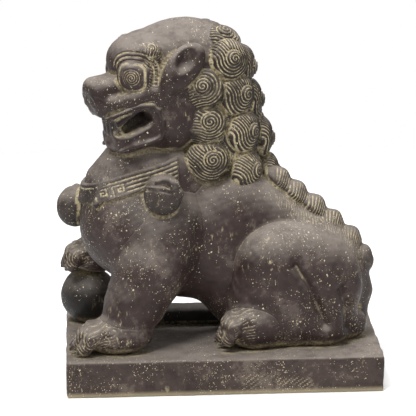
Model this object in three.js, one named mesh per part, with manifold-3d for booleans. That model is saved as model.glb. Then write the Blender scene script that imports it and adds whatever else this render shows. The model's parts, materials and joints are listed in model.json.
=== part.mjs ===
// A seated guardian lion (foo dog) on a rectangular plinth, its right forepaw on a ball.
// Hand-built and cast figures like this are made from pressed pieces that are luted together:
// the plinth, trunk, limbs, head, and the sprigged-on curls, ears, eyes, collar and bells.
// Millimetres, +Z up. The lion faces -X, its left flank is towards -Y, and the origin is
// the centre of the plinth's underside. The ball-side bell overhangs the plinth a little.
import * as THREE from "three";
import { mergeVertices } from "three/addons/utils/BufferGeometryUtils.js";
import Module from "manifold-3d";

const wasm = await Module();
wasm.setup();

// ---------- driving dimensions ----------
const PLINTH = { length: 318, depth: 200, height: 37, corner: 5, arris: 2 };
const SEAM = 0.35; // clearance left between two pieces that touch
const BALL = { at: [-130, 58, PLINTH.height + 28.5], radius: 28 };
const HEAD = { x: -48, y: 0, yaw: 20 }; // the head's upright axis, turned towards the left flank
const CROWN_Z = 366;

// ---------- colours of the fired, rubbed-down surface ----------
const stone = (color) => new THREE.MeshStandardMaterial({ color, roughness: 0.86, metalness: 0 });
const STONE = stone(0x55494a);
const STONE_DUSTY = stone(0x6d655c);
const STONE_DARK = stone(0x3f3838);

// ---------- solids from three.js geometry ----------
const radians = THREE.MathUtils.degToRad;

function solidOf(geometry, matrix = new THREE.Matrix4()) {
  const g = geometry.clone().applyMatrix4(matrix);
  g.deleteAttribute("normal");
  g.deleteAttribute("uv");
  const merged = mergeVertices(g, 1e-4);
  return new wasm.Manifold(
    new wasm.Mesh({
      numProp: 3,
      vertProperties: merged.attributes.position.array,
      triVerts: new Uint32Array(merged.index.array),
    }),
  );
}

function meshGeometry(solid) {
  const mesh = solid.getMesh();
  const g = new THREE.BufferGeometry();
  g.setAttribute("position", new THREE.BufferAttribute(mesh.vertProperties, 3));
  g.setIndex(new THREE.BufferAttribute(mesh.triVerts, 1));
  return g;
}

const join = (solids) => solids.reduce((a, b) => a.add(b));

// An ellipsoid with half-axes size, turned by degrees about X, Y and Z.
function ovoid(at, size, turn = [0, 0, 0], detail = [14, 8]) {
  return (grow) => {
    const place = new THREE.Matrix4().compose(
      new THREE.Vector3(...at),
      new THREE.Quaternion().setFromEuler(new THREE.Euler(...turn.map(radians), "ZYX")),
      new THREE.Vector3(...size.map((s) => s + grow)),
    );
    return solidOf(new THREE.SphereGeometry(1, ...detail), place);
  };
}

// A rounded cone: two balls and the cone that touches both.
function taper([from, r0], [to, r1], around = 10) {
  return (grow) => {
    const a = new THREE.Vector3(...from);
    const b = new THREE.Vector3(...to);
    const length = a.distanceTo(b);
    const lean = Math.asin((r0 - r1) / length);
    const steps = 2;
    const profile = [];
    for (let i = 0; i <= steps; i++) {
      const t = -Math.PI / 2 + ((lean + Math.PI / 2) * i) / steps;
      profile.push(new THREE.Vector2(i ? (r0 + grow) * Math.cos(t) : 0, (r0 + grow) * Math.sin(t)));
    }
    for (let i = 0; i <= steps; i++) {
      const t = lean + ((Math.PI / 2 - lean) * i) / steps;
      const across = i < steps ? (r1 + grow) * Math.cos(t) : 0;
      profile.push(new THREE.Vector2(across, length + (r1 + grow) * Math.sin(t)));
    }
    const along = new THREE.Vector3().subVectors(b, a).normalize();
    const turn = new THREE.Quaternion().setFromUnitVectors(new THREE.Vector3(0, 1, 0), along);
    const place = new THREE.Matrix4().compose(a, turn, new THREE.Vector3(1, 1, 1));
    return solidOf(new THREE.LatheGeometry(profile, around), place);
  };
}

// A limb: rounded cones from one station [point, radius] to the next.
function limb(...stations) {
  const parts = stations.slice(1).map((s, i) => taper(stations[i], s));
  return (grow) => join(parts.map((p) => p(grow)));
}

const union =
  (...shapes) =>
  (grow) =>
    join(shapes.map((s) => s(grow)));
const less = (shape, hollow) => (grow) => shape(grow).subtract(hollow(-grow));
const same = (point) => point;
const mirrored = ([x, y, z]) => [x, -y, z];

// ---------- plinth ----------
function plinth(grow) {
  const { length, depth, height, corner, arris } = PLINTH;
  const x = length / 2 - arris + grow;
  const y = depth / 2 - arris + grow;
  const outline = new THREE.Shape();
  outline.moveTo(-x + corner, -y);
  outline.lineTo(x - corner, -y);
  outline.absarc(x - corner, -y + corner, corner, -Math.PI / 2, 0);
  outline.absarc(x - corner, y - corner, corner, 0, Math.PI / 2);
  outline.absarc(-x + corner, y - corner, corner, Math.PI / 2, Math.PI);
  outline.absarc(-x + corner, -y + corner, corner, Math.PI, 1.5 * Math.PI);
  const slab = new THREE.ExtrudeGeometry(outline, {
    depth: height - 2 * arris + 2 * grow,
    bevelThickness: arris,
    bevelSize: arris,
    bevelSegments: 1,
    curveSegments: 3,
  });
  slab.translate(0, 0, arris - grow);
  return solidOf(slab);
}

// ---------- trunk ----------
const chest = ovoid([-82, 0, 156], [61, 60, 60], [0, 0, 0], [18, 11]);
const brisket = ovoid([-44, 0, 122], [52, 42, 42]);
const barrel = ovoid([-2, 0, 140], [80, 54, 66], [0, 12, 0], [14, 9]);
const flank = ovoid([20, 0, 92], [42, 52, 50]);
const back = limb([[18, 0, 172], 42], [[85, 0, 124], 40]);
const rump = ovoid([82, 0, 98], [66, 54, 62], [0, 0, 0], [14, 9]);
const trunk = union(chest, brisket, barrel, flank, back, rump);
const bib = limb([[-84, -2, 226], 30], [[-99, 0, 194], 39]);
const throat = union(ovoid([-60, -4, 208], [48, 45, 40]), bib);

// ---------- limbs, given for the left side; the right side mirrors them ----------
const shoulder = (m) => ovoid(m([-54, -26, 150]), [42, 37, 50]);
const thigh = (m) =>
  union(
    ovoid(m([78, -38, 100]), [66, 34, 66]),
    ovoid(m([40, -44, 76]), [34, 28, 39]),
    limb([m([48, -48, 57]), 19], [m([104, -44, 57]), 19], [m([130, -24, 53]), 15]),
  );

function paw(at, size) {
  const [x, y, z] = at;
  const pad = ovoid(at, size);
  const spread = [-1.5, -0.5, 0.5, 1.5].map((k) => {
    const forward = Math.abs(k) > 1 ? 0.62 : 0.76;
    return ovoid(
      [x - size[0] * forward, y + k * size[1] * 0.46, z - size[2] * 0.18],
      [size[0] * 0.34, size[1] * 0.3, size[2] * 0.72],
      [0, 0, 0],
      [7, 4],
    );
  });
  return union(pad, ...spread);
}

const hindFoot = (m) => paw(m([28, -58, 60]), [32, 24, 24]);
const leftForeleg = union(
  shoulder(same),
  limb([[-70, -38, 138], 35], [[-74, -45, 116], 35], [[-88, -54, 86], 30], [[-102, -60, 64], 24]),
);
const leftForepaw = paw([-112, -62, 54], [36, 25, 18]);
const rightForeleg = union(
  shoulder(mirrored),
  limb([[-76, 36, 148], 32], [[-98, 45, 132], 27], [[-119, 50, 119], 20]),
);
const rightForepaw = paw([-131, 52, 111], [25, 22, 16]);

// ---------- ball and its sash ----------
const ball = ovoid(BALL.at, Array(3).fill(BALL.radius), [0, 0, 0], [20, 12]);

function sash(grow) {
  const width = 30 + 2 * grow;
  const rise = 17 + 2 * grow;
  const round = 6;
  const section = new THREE.Shape();
  section.moveTo(-width / 2, 0);
  section.lineTo(width / 2, 0);
  section.absarc(width / 2 - round, rise - round, round, 0, Math.PI / 2);
  section.absarc(-width / 2 + round, rise - round, round, Math.PI / 2, Math.PI);
  const length = 104 + 2 * grow;
  const bar = new THREE.ExtrudeGeometry(section, {
    depth: length,
    bevelEnabled: false,
    curveSegments: 4,
  });
  const upright = new THREE.Matrix4().makeBasis(
    new THREE.Vector3(0, 1, 0),
    new THREE.Vector3(0, 0, 1),
    new THREE.Vector3(1, 0, 0),
  );
  bar.applyMatrix4(upright).translate(-98 - grow, 47, PLINTH.height + SEAM - grow);
  return solidOf(bar);
}

// ---------- head: f is forward of the head's axis, s is out to its left, z is the height ----------
const YAW = radians(HEAD.yaw);
function onHead(f, s, z) {
  return [
    HEAD.x - f * Math.cos(YAW) + s * Math.sin(YAW),
    HEAD.y - f * Math.sin(YAW) - s * Math.cos(YAW),
    z,
  ];
}
const headOvoid = (f, s, z, size, pitch = 0, turn = 0, detail = undefined) =>
  ovoid(onHead(f, s, z), size, [0, pitch, HEAD.yaw + turn], detail);

const hood = union(
  headOvoid(-48, 0, 247, [52, 45, 58], 0, 0, [14, 9]),
  headOvoid(-34, 0, 306, [48, 45, 54], 0, 0, [14, 9]),
);
const skull = headOvoid(-12, 0, CROWN_Z - 60, [72, 45, 60], 0, 0, [16, 10]);
const forehead = headOvoid(34, 0, 325, [35, 40, 27]);
const cheeks = headOvoid(10, 0, 274, [46, 46, 42]);
const mouth = headOvoid(54, 0, 268, [17, 60, 8], -20, 0, [12, 8]);
const face = less(union(skull, forehead, cheeks), mouth);
const muzzle = less(
  union(headOvoid(66, 0, 298, [27, 25, 15], -6), headOvoid(62, 0, 284, [29, 34, 15], -10)),
  mouth,
);
const jaw = less(headOvoid(46, 0, 244, [32, 37, 14], -17, 0, [14, 9]), mouth);
const frontTeeth = headOvoid(71, 0, 262, [9, 25, 15], -10, 0, [12, 8]);
const nose = union(
  headOvoid(83, 0, 301, [11, 19, 9], 0, 0, [12, 7]),
  headOvoid(87, 11, 291, [7, 8, 9], 0, 0, [8, 5]),
  headOvoid(87, -11, 291, [7, 8, 9], 0, 0, [8, 5]),
);

const eye = (side) => headOvoid(55, side * 32, 315, [14, 8, 15], 0, side * -40, [12, 8]);
const brow = (side) =>
  union(
    limb([onHead(65, side * 9, 334), 7], [onHead(57, side * 29, 339), 8], [onHead(43, side * 38, 341), 7]),
    headOvoid(34, side * 38, 345, [11, 8, 11], 0, 0, [9, 6]),
  );
const ear = (side) =>
  less(
    union(
      headOvoid(4, side * 46, 330, [18, 11, 20], 25, 0, [12, 8]),
      limb([onHead(10, side * 45, 320), 12], [onHead(19, side * 42, 300), 9]),
    ),
    headOvoid(6, side * 59, 331, [9, 9, 10], 25, 0, [8, 5]),
  );

// ---------- mane: rows of curls round the hood, which widens towards its hem ----------
const CURL_COLUMNS = {
  cheek: { rows: [303, 269, 232], around: 64 },
  side: { rows: [327, 289, 254, 219], around: 111 },
  back: { rows: [315, 282, 248, 217], around: 155 },
};
const CURL_SIZE = [18, 10, 18];
function hoodPoint(around, z) {
  const a = radians(around);
  const below = 314 - z;
  return { f: -35 - 0.18 * below + (46 + 0.12 * below) * Math.cos(a), s: 46 * Math.sin(a) };
}
function curl({ rows, around }, row, side) {
  const { f, s } = hoodPoint(around, rows[row]);
  return headOvoid(f, side * s, rows[row], CURL_SIZE, 0, side * (around - 90), [9, 6]);
}
const crownCurl = (side) => headOvoid(-46, side * 20, 346, [16, 16, 10], 0, 0, [9, 6]);

// ---------- crest and tail along the spine ----------
const CREST = [
  [61, 199, 12.5],
  [77, 184, 13.5],
  [96, 168, 13.5],
  [113, 151, 13],
  [129, 134, 12.5],
  [140, 117, 11.5],
];
const crest = ([x, z, radius]) => ovoid([x, 0, z], [radius + 1, 14, radius], [0, 43, 0], [9, 6]);
const tail = limb([[143, 0, 104], 11], [[145, 0, 80], 12], [[142, 0, 52], 11]);

// ---------- collar band round the chest, cut from a skin 5 mm thick ----------
function band(side) {
  const outline = new THREE.Shape(
    [[-172, 176], [-120, 182], [-48, 196], [-48, 214], [-108, 214], [-150, 206]].map(
      ([x, z]) => new THREE.Vector2(x, z),
    ),
  );
  return (grow) => {
    const slab = new THREE.ExtrudeGeometry(outline, { depth: 90, bevelEnabled: false });
    slab.rotateX(Math.PI / 2);
    const middle = -30; // the two halves meet at the front of the chest, left of the spine
    slab.translate(0, side > 0 ? middle - SEAM / 2 : middle + 90 + SEAM / 2, 0);
    return chest(5 + grow).add(bib(5 + grow)).intersect(solidOf(slab));
  };
}
const bellLeft = ovoid([-57, -62, 194], [19, 14, 21], [0, 0, 0], [14, 9]);
const bellRight = ovoid([-146, 22, 168], [19, 17, 20], [0, 0, 0], [14, 9]);

// ---------- the assembly: an earlier piece keeps its shape, a later one is cut to fit it ----------
const SIDES = { left: 1, right: -1 };
const recipes = [
  ["plinth", "base", plinth, STONE],
  ["ball", "base", ball, STONE_DARK],
  ["ball_sash", "base", sash, STONE_DUSTY],
  ["trunk", "body", trunk, STONE],
  ["left_hind_foot", "body", hindFoot(same), STONE],
  ["right_hind_foot", "body", hindFoot(mirrored), STONE],
  ["left_thigh", "body", thigh(same), STONE],
  ["right_thigh", "body", thigh(mirrored), STONE],
  ["left_forepaw", "body", leftForepaw, STONE],
  ["right_forepaw", "body", rightForepaw, STONE],
  ["left_foreleg", "body", leftForeleg, STONE],
  ["right_foreleg", "body", rightForeleg, STONE],
  ["mane_hood", "head", hood, STONE_DUSTY],
  ["face", "head", face, STONE],
  ["muzzle", "head", muzzle, STONE],
  ["lower_jaw", "head", jaw, STONE],
  ["front_teeth", "head", frontTeeth, STONE],
  ["nose", "head", nose, STONE],
  ["throat", "body", throat, STONE],
];
for (const [name, side] of Object.entries(SIDES)) {
  recipes.push(
    [`${name}_eye`, "head", eye(side), STONE_DARK],
    [`${name}_brow`, "head", brow(side), STONE_DUSTY],
    [`${name}_ear`, "head", ear(side), STONE],
  );
}
recipes.push(["bell_left", "body", bellLeft, STONE_DARK], ["bell_right", "body", bellRight, STONE_DARK]);
for (const [name, side] of Object.entries(SIDES)) {
  recipes.push([`collar_${name}`, "body", band(side), STONE_DUSTY]);
  recipes.push([`curl_${name}_crown`, "mane", crownCurl(side), STONE_DUSTY]);
  for (const [column, curls] of Object.entries(CURL_COLUMNS)) {
    curls.rows.forEach((_, row) =>
      recipes.push([`curl_${name}_${column}_${row + 1}`, "mane", curl(curls, row, side), STONE_DUSTY]),
    );
  }
}
CREST.forEach((station, i) => recipes.push([`crest_${i + 1}`, "body", crest(station), STONE]));
recipes.push(["tail", "body", tail, STONE]);

function touches(a, b) {
  const p = a.boundingBox();
  const q = b.boundingBox();
  return [0, 1, 2].every((i) => p.min[i] < q.max[i] && q.min[i] < p.max[i]);
}

const lion = new THREE.Group();
const groups = {};
const placed = [];
for (const [name, group, shape, material] of recipes) {
  let solid = shape(0);
  for (const earlier of placed) {
    if (touches(solid, earlier)) solid = solid.subtract(earlier);
  }
  const largest = solid.decompose().reduce((a, b) => (a.volume() > b.volume() ? a : b));
  placed.push(shape(SEAM));
  const geometry = meshGeometry(largest);
  geometry.computeBoundingBox();
  const anchor = geometry.boundingBox.getCenter(new THREE.Vector3());
  const mesh = new THREE.Mesh(geometry.translate(-anchor.x, -anchor.y, -anchor.z), material);
  mesh.name = name;
  mesh.position.copy(anchor);
  groups[group] ??= new THREE.Group();
  groups[group].add(mesh);
}
lion.add(...Object.values(groups));

export default lion;
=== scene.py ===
# %% [markdown]
# # A cast-stone guardian lion, sculpted in code
#
# Guardian lions of this kind are modelled in clay, cast in a cement-and-marble-dust mix and
# rubbed down. The figure is a handful of rounded masses (chest, haunch, hood of hair), so we
# build each mass as a distance field: a function that tells how far a point is from the clay.
# Fields can be pressed together smoothly, the way a thumb closes a seam, and they can be cut
# with a tool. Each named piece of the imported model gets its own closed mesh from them.

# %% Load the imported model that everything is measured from
import json
import math
from collections import namedtuple

import bpy
import numpy as np
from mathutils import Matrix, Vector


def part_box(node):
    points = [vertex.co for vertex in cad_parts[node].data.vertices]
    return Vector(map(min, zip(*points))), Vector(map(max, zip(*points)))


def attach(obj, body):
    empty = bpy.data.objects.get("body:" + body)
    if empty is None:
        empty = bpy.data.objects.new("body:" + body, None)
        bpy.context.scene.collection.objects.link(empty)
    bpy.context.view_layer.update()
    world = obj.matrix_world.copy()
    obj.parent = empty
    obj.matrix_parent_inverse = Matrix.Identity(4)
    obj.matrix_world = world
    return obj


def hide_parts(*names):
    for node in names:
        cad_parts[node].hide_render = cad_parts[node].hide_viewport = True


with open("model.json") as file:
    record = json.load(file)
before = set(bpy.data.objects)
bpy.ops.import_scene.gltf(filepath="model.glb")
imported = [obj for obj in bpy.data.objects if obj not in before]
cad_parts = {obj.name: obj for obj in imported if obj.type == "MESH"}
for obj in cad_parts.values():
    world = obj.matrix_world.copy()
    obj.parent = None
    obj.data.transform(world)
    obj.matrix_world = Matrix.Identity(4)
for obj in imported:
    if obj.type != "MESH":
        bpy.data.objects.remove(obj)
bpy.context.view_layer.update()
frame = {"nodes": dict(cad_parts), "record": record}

import openvdb
from mathutils import Euler, Matrix, Vector

MM = 0.001


def box_mm(node):
    low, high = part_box(node)
    return np.array(low) / MM, np.array(high) / MM


def middle(node):
    low, high = box_mm(node)
    return (low + high) / 2


PLINTH_LOW, PLINTH_HIGH = box_mm("plinth")
GROUND = PLINTH_HIGH[2]  # the top of the plinth, which every foot stands on
print("nodes:", len(frame["nodes"]), "ground at", round(GROUND, 1), "mm")

# %% [markdown]
# ## Camera, light and floor
#
# A long lens from a little above the plinth keeps the plinth's edges almost parallel. Three large
# soft lamps and a pale sky leave no hard shadow.

# %% The camera
CAMERA_AT = Vector((-0.1308, -2.8782, 0.8421))
CAMERA_TURN = -2.367  # degrees round the upright axis
CAMERA_RISE = 13.149  # degrees above the horizon
CAMERA_ROLL = 0.665
LENS = 250.96


def studio_camera():
    data = bpy.data.cameras.new("camera")
    data.lens, data.sensor_width = LENS, 36
    data.clip_start, data.clip_end = 0.1, 20
    camera = bpy.data.objects.new("camera", data)
    bpy.context.collection.objects.link(camera)
    a, e = math.radians(CAMERA_TURN), math.radians(CAMERA_RISE)
    back = Vector((math.sin(a) * math.cos(e), -math.cos(a) * math.cos(e), math.sin(e)))
    aim = (-back).to_track_quat("-Z", "Y").to_matrix()
    camera.rotation_euler = (aim @ Matrix.Rotation(math.radians(-CAMERA_ROLL), 3, "Z")).to_euler()
    camera.location = CAMERA_AT
    bpy.context.scene.camera = camera


studio_camera()


# %% The lamps and the sky
def soft_lamp(name, at, aim_at, size, power):
    data = bpy.data.lights.new(name, "AREA")
    data.shape, data.size, data.energy = "DISK", size, power
    lamp = bpy.data.objects.new(name, data)
    bpy.context.collection.objects.link(lamp)
    lamp.location = at
    lamp.rotation_euler = (Vector(aim_at) - Vector(at)).to_track_quat("-Z", "Y").to_euler()


soft_lamp("key_lamp", (-0.65, -1.2, 2.0), (0, 0, 0.15), 0.8, 52)
soft_lamp("fill_lamp", (1.5, -1.4, 1.0), (0, 0, 0.15), 1.0, 8)
soft_lamp("top_lamp", (0.2, 0.5, 2.0), (0, 0, 0.15), 1.2, 32)


def pale_sky(seen, felt):
    """A white backdrop: seen is how bright it looks, felt is how much it lights the statue."""
    world = bpy.data.worlds.new("pale_sky")
    world.use_nodes = True
    tree = world.node_tree
    sky = tree.nodes["Background"]
    sky.inputs["Color"].default_value = (1, 1, 1, 1)
    strength = tree.nodes.new("ShaderNodeMapRange")
    strength.inputs["To Min"].default_value, strength.inputs["To Max"].default_value = felt, seen
    ray = tree.nodes.new("ShaderNodeLightPath")
    tree.links.new(ray.outputs["Is Camera Ray"], strength.inputs["Value"])
    tree.links.new(strength.outputs[0], sky.inputs["Strength"])
    bpy.context.scene.world = world


pale_sky(seen=1.0, felt=0.38)
bpy.context.scene.view_settings.view_transform = "Standard"


# %% The floor
FLOOR_RADIUS = 1.1  # m


def pale_floor():
    """A round white table top; the white sky begins close behind it."""
    mesh = bpy.data.meshes.new("floor")
    turns = [2 * math.pi * i / 96 for i in range(96)]
    rim = [(FLOOR_RADIUS * math.cos(a), FLOOR_RADIUS * math.sin(a), 0) for a in turns]
    mesh.from_pydata(rim, [], [tuple(range(96))])
    floor = bpy.data.objects.new("floor", mesh)
    bpy.context.collection.objects.link(floor)
    paint = bpy.data.materials.new("pale_floor")
    paint.use_nodes = True
    shader = paint.node_tree.nodes["Principled BSDF"]
    shader.inputs["Base Color"].default_value = (0.95, 0.95, 0.95, 1)
    shader.inputs["Roughness"].default_value = 0.9
    mesh.materials.append(paint)


pale_floor()

# %% [markdown]
# ## Clay forms
#
# A form holds a distance function over an array of points (millimetres, negative inside) and
# the box it fits in. An ovoid is a thumbed lump of clay; a limb is a roll that tapers.

# %% Ovoids, limbs and slabs
Form = namedtuple("Form", "dist low high")


def press(a, b, soft):
    """Joins two distances; soft is how far from the seam the clay is smoothed, in mm."""
    if not soft:
        return np.minimum(a, b)
    h = np.maximum(soft - np.abs(a - b), 0) / soft
    return np.minimum(a, b) - h * h * soft / 4


def ellipsoid(at, size, turned):
    """Near distance to an ellipsoid whose own axes are the columns of turned."""

    def dist(p):
        q = (p - at) @ turned / size
        k0 = np.sqrt((q * q).sum(1)) + 1e-6
        q /= size
        k1 = np.sqrt((q * q).sum(1)) + 1e-6
        return k0 * (k0 - 1) / k1

    return dist


def turned_by(degrees):
    return np.array(Euler([math.radians(t) for t in degrees]).to_matrix(), np.float32)


def ovoid(at, size, turn=(0, 0, 0)):
    at, size, turned = np.array(at, np.float32), np.array(size, np.float32), turned_by(turn)
    reach = np.sqrt((turned**2 * size**2).sum(1))
    return Form(ellipsoid(at, size, turned), at - reach, at + reach)


def limb(*stations, soft=10):
    """Rolls of clay between stations (point, radius)."""
    points = [np.array(s[0], np.float32) for s in stations]
    radii = [s[1] for s in stations]

    def dist(p):
        total = None
        for (a, ra), (b, rb) in zip(zip(points, radii), zip(points[1:], radii[1:])):
            along = b - a
            t = np.clip((p - a) @ along / (along @ along), 0, 1)
            q = p - a - t[:, None] * along
            d = np.sqrt((q * q).sum(1)) - (ra + (rb - ra) * t)
            total = d if total is None else press(total, d, soft)
        return total

    low = np.min([p - r for p, r in zip(points, radii)], 0)
    high = np.max([p + r for p, r in zip(points, radii)], 0)
    return Form(dist, low, high)


def slab(low, high, rounding):
    """A block with rounded edges."""
    low, high = np.array(low, np.float32), np.array(high, np.float32)
    at, half = (low + high) / 2, (high - low) / 2 - rounding

    def dist(p):
        q = np.abs(p - at) - half
        outside = np.sqrt((np.maximum(q, 0) ** 2).sum(1))
        return outside + np.minimum(q.max(1), 0) - rounding

    return Form(dist, low, high)


def pressed(*forms, soft=8):
    def dist(p):
        total = forms[0].dist(p)
        for form in forms[1:]:
            total = press(total, form.dist(p), soft)
        return total

    return Form(dist, np.min([f.low for f in forms], 0), np.max([f.high for f in forms], 0))


def trimmed(form, inside, soft=2):
    """Keeps only what lies inside another form."""
    return Form(lambda p: -press(-form.dist(p), -inside.dist(p), soft), form.low, form.high)


def scooped(form, tool, soft=2):
    return Form(lambda p: -press(-form.dist(p), tool.dist(p), soft), form.low, form.high)


# %% [markdown]
# ## The body
#
# The left side is sculpted once and the right side mirrors it across the spine. The lion sits:
# a deep chest, a back that falls to the rump, and a broad haunch with two muscle creases.

# %% Trunk, throat and haunches
def other_side(m):
    return [m[0], -m[1], m[2]]


def as_is(m):
    return list(m)


chest = ovoid((-82, 0, 156), (61, 60, 60))
trunk = pressed(
    chest,
    ovoid((-44, 0, 122), (52, 42, 42)),  # brisket
    ovoid((-2, 0, 140), (80, 47, 66), (0, 12, 0)),  # barrel
    ovoid((22, 0, 92), (42, 48, 50)),  # flank
    limb(((18, 0, 177), 37), ((85, 0, 129), 35)),  # back
    ovoid((84, 0, 98), (66, 54, 62)),  # rump
    soft=16,
)
throat = pressed(
    ovoid((-61, -4, 208), (47, 42, 38)), limb(((-84, -2, 226), 29), ((-99, 0, 194), 38)), soft=12
)


def haunch(m):
    return pressed(
        ovoid(m((76, -39, 97)), (66, 34, 64)),
        ovoid(m((53, -43, 120)), (38, 31, 38)),  # the squared front of the thigh
        ovoid(m((40, -44, 76)), (34, 28, 39)),  # knee
        limb((m((48, -50, 56)), 19), (m((104, -46, 56)), 20), (m((132, -24, 52)), 16)),
        soft=14,
    )


# %% Legs and paws
PAW_SWELL = {  # times the node's box
    "left_forepaw": 1.12, "right_forepaw": 1.2, "left_hind_foot": 1.06, "right_hind_foot": 1.06,
}


def paw(node):
    """Four rolled toes in front of a pad, filling the node's box, each with a stub of claw."""
    low, high = box_mm(node)
    at, (x, y, z) = (low + high) / 2, (high - low) / 2 * PAW_SWELL[node]
    pad = ovoid(at + (x * 0.16, 0, 0), (x * 0.84, y * 0.94, z * 1.0))
    toes, claws = [], []
    for k in (-1.5, -0.5, 0.5, 1.5):
        reach = 0.6 if abs(k) < 1 else 0.46
        toes.append(limb(
            (at + (x * (0.3 - reach), k * y * 0.44, z * 0.42), y * 0.2),
            (at + (-x * reach, k * y * 0.5, z * 0.1), y * 0.27),
            (at + (-x * (reach + 0.16), k * y * 0.5, -z * 0.42), y * 0.25), soft=4,
        ))
        tip = at + (-x * (reach + 0.36), k * y * 0.5, -z * 0.6)
        claws.append(limb((tip, y * 0.07), (tip + (x * 0.16, 0, z * 0.3), y * 0.13), soft=2))
    return pressed(pressed(pressed(*toes, soft=2.4), pad, soft=5), *claws, soft=1.5)


def shoulder(m):
    return ovoid(m((-54, -27, 150)), (39, 38, 52))


left_foreleg = pressed(
    shoulder(as_is),
    limb(((-70, -38, 138), 34), ((-74, -45, 116), 35), ((-88, -54, 86), 29), ((-102, -60, 64), 23)),
    soft=16,
)
right_foreleg = pressed(
    shoulder(other_side),
    limb(((-76, 36, 148), 32), ((-98, 45, 132), 28), ((-121, 50, 118), 22)),
    soft=16,
)

# %% The crest of tufts down the spine, and the tail
CREST = sorted(n for n in frame["nodes"] if n.startswith("crest_"))


def tuft(node):
    """A flame that points up and back, then dips to the root of the next one."""
    at = middle(node)
    slope = np.array((0.73, 0, -0.68))  # down the spine
    lift = np.array((0.68, 0, 0.73))
    return pressed(
        ovoid(at - lift * 3.5, (16.5, 16, 9), (0, 43, 0)),
        limb((at - slope * 9 - lift * 2, 5.5), (at + lift * 2.5, 6.5), (at + slope * 9 + lift, 4)),
        soft=8,
    )


tail = limb(((141, 0, 104), 10), ((143, 0, 80), 11), ((141, 0, 52), 10))

# %% [markdown]
# ## The head
#
# The head turns towards the left flank, so it has its own directions: f runs forwards from the
# upright axis of the head, s out to the lion's left and z up.

# %% Head directions
HEAD_AT = np.array((-48.0, 0.0))
HEAD_YAW = 20
FORWARD = np.array((-math.cos(math.radians(HEAD_YAW)), -math.sin(math.radians(HEAD_YAW))))
LEFTWARD = np.array((math.sin(math.radians(HEAD_YAW)), -math.cos(math.radians(HEAD_YAW))))


def on_head(f, s, z):
    return (*(HEAD_AT + f * FORWARD + s * LEFTWARD), z)


def head_ovoid(f, s, z, size, pitch=0, turn=0):
    return ovoid(on_head(f, s, z), size, (0, pitch, HEAD_YAW + turn))


def head_limb(*stations, soft=8):
    return limb(*((on_head(*at), r) for at, r in stations), soft=soft)


def head_block(f, s, z, half, rounding, pitch=0, turn=0):
    """A block with rounded edges, tilted and turned with the head."""
    at = np.array(on_head(f, s, z), np.float32)
    lean = turned_by((0, pitch, HEAD_YAW + turn))
    core = slab(-np.array(half), half, rounding)
    reach = np.abs(lean) @ np.array(half)
    return Form(lambda p: core.dist((p - at) @ lean), at - reach, at + reach)


# %% Skull, cheeks and the plate round the mouth
hood = pressed(
    head_ovoid(-48, 0, 247, (52, 45, 56)), head_ovoid(-34, 0, 306, (48, 45, 52)), soft=16
)
skull = pressed(
    head_ovoid(-12, 0, 306, (72, 45, 59.5)), head_ovoid(32.5, 0, 326.5, (34, 37, 27)), soft=9
)
cheeks = pressed(
    head_ovoid(8, 0, 272, (44, 47, 44)), head_ovoid(20, 0, 298, (44, 44, 24)), soft=10
)


def mouth_plate(side):
    return head_block(44, side * 17, 264, (27, 17, 20.5), 5, -17, -24.5 * side)


MOUTH_RIM = (
    (76, 20, 272), (72, 25, 275), (60, 33, 281), (46, 39, 286), (37, 42, 286), (31, 44, 281),
    (27, 45, 271), (26, 45, 260), (29, 43, 253), (38, 39, 249), (51, 33, 245), (64, 24, 239),
)
LIP_ROLL = (((79, 9, 288), 6.5), ((69, 19, 287), 7), ((52, 29, 291), 7.5), ((34, 36, 298), 8))


def to_side(stations, side):
    return [((f, s * side, z), r) for (f, s, z), r in stations]


def lip_rim(side):
    return head_limb(*to_side([(at, 2.1) for at in MOUTH_RIM], side), soft=2)


def under_the_lip(side):
    """The crease between the rolled lip and the rim of the mouth."""
    crease = (((84, 20, 279), 1.5), ((62, 33, 284.5), 2), ((46, 41, 291), 2), ((28, 47, 290), 1.5))
    return head_limb(*to_side(crease, side), soft=2)


lips = pressed(*(head_limb(*to_side(LIP_ROLL, side), soft=6) for side in (1, -1)), soft=4)
plates = trimmed(
    pressed(mouth_plate(1), mouth_plate(-1), soft=3), head_ovoid(29, 0, 262, (43, 47, 60)), soft=6
)
bite = head_limb(((72, -15, 264), 6.5), ((75, 0, 264), 7), ((72, 15, 264), 6.5))
# f and z of the rolls that cut the mouth from side to side, and their radii
SLOT = (((67, 257.5), 4.2), ((60, 261), 6), ((53, 266), 7.5), ((45, 271.5), 8.5))
slot = pressed(
    *(
        head_limb(((f - 3, side * 12, z), r), ((f, side * 60, z), r))
        for side in (1, -1)
        for (f, z), r in SLOT
    ),
    soft=5,
)
face = pressed(pressed(skull, cheeks, soft=9), plates, soft=5)
face = scooped(face, pressed(under_the_lip(1), under_the_lip(-1), soft=1), soft=4)
face = pressed(face, lip_rim(1), lip_rim(-1), soft=2.5)
face = scooped(scooped(face, slot, soft=3), bite, soft=3)

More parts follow.
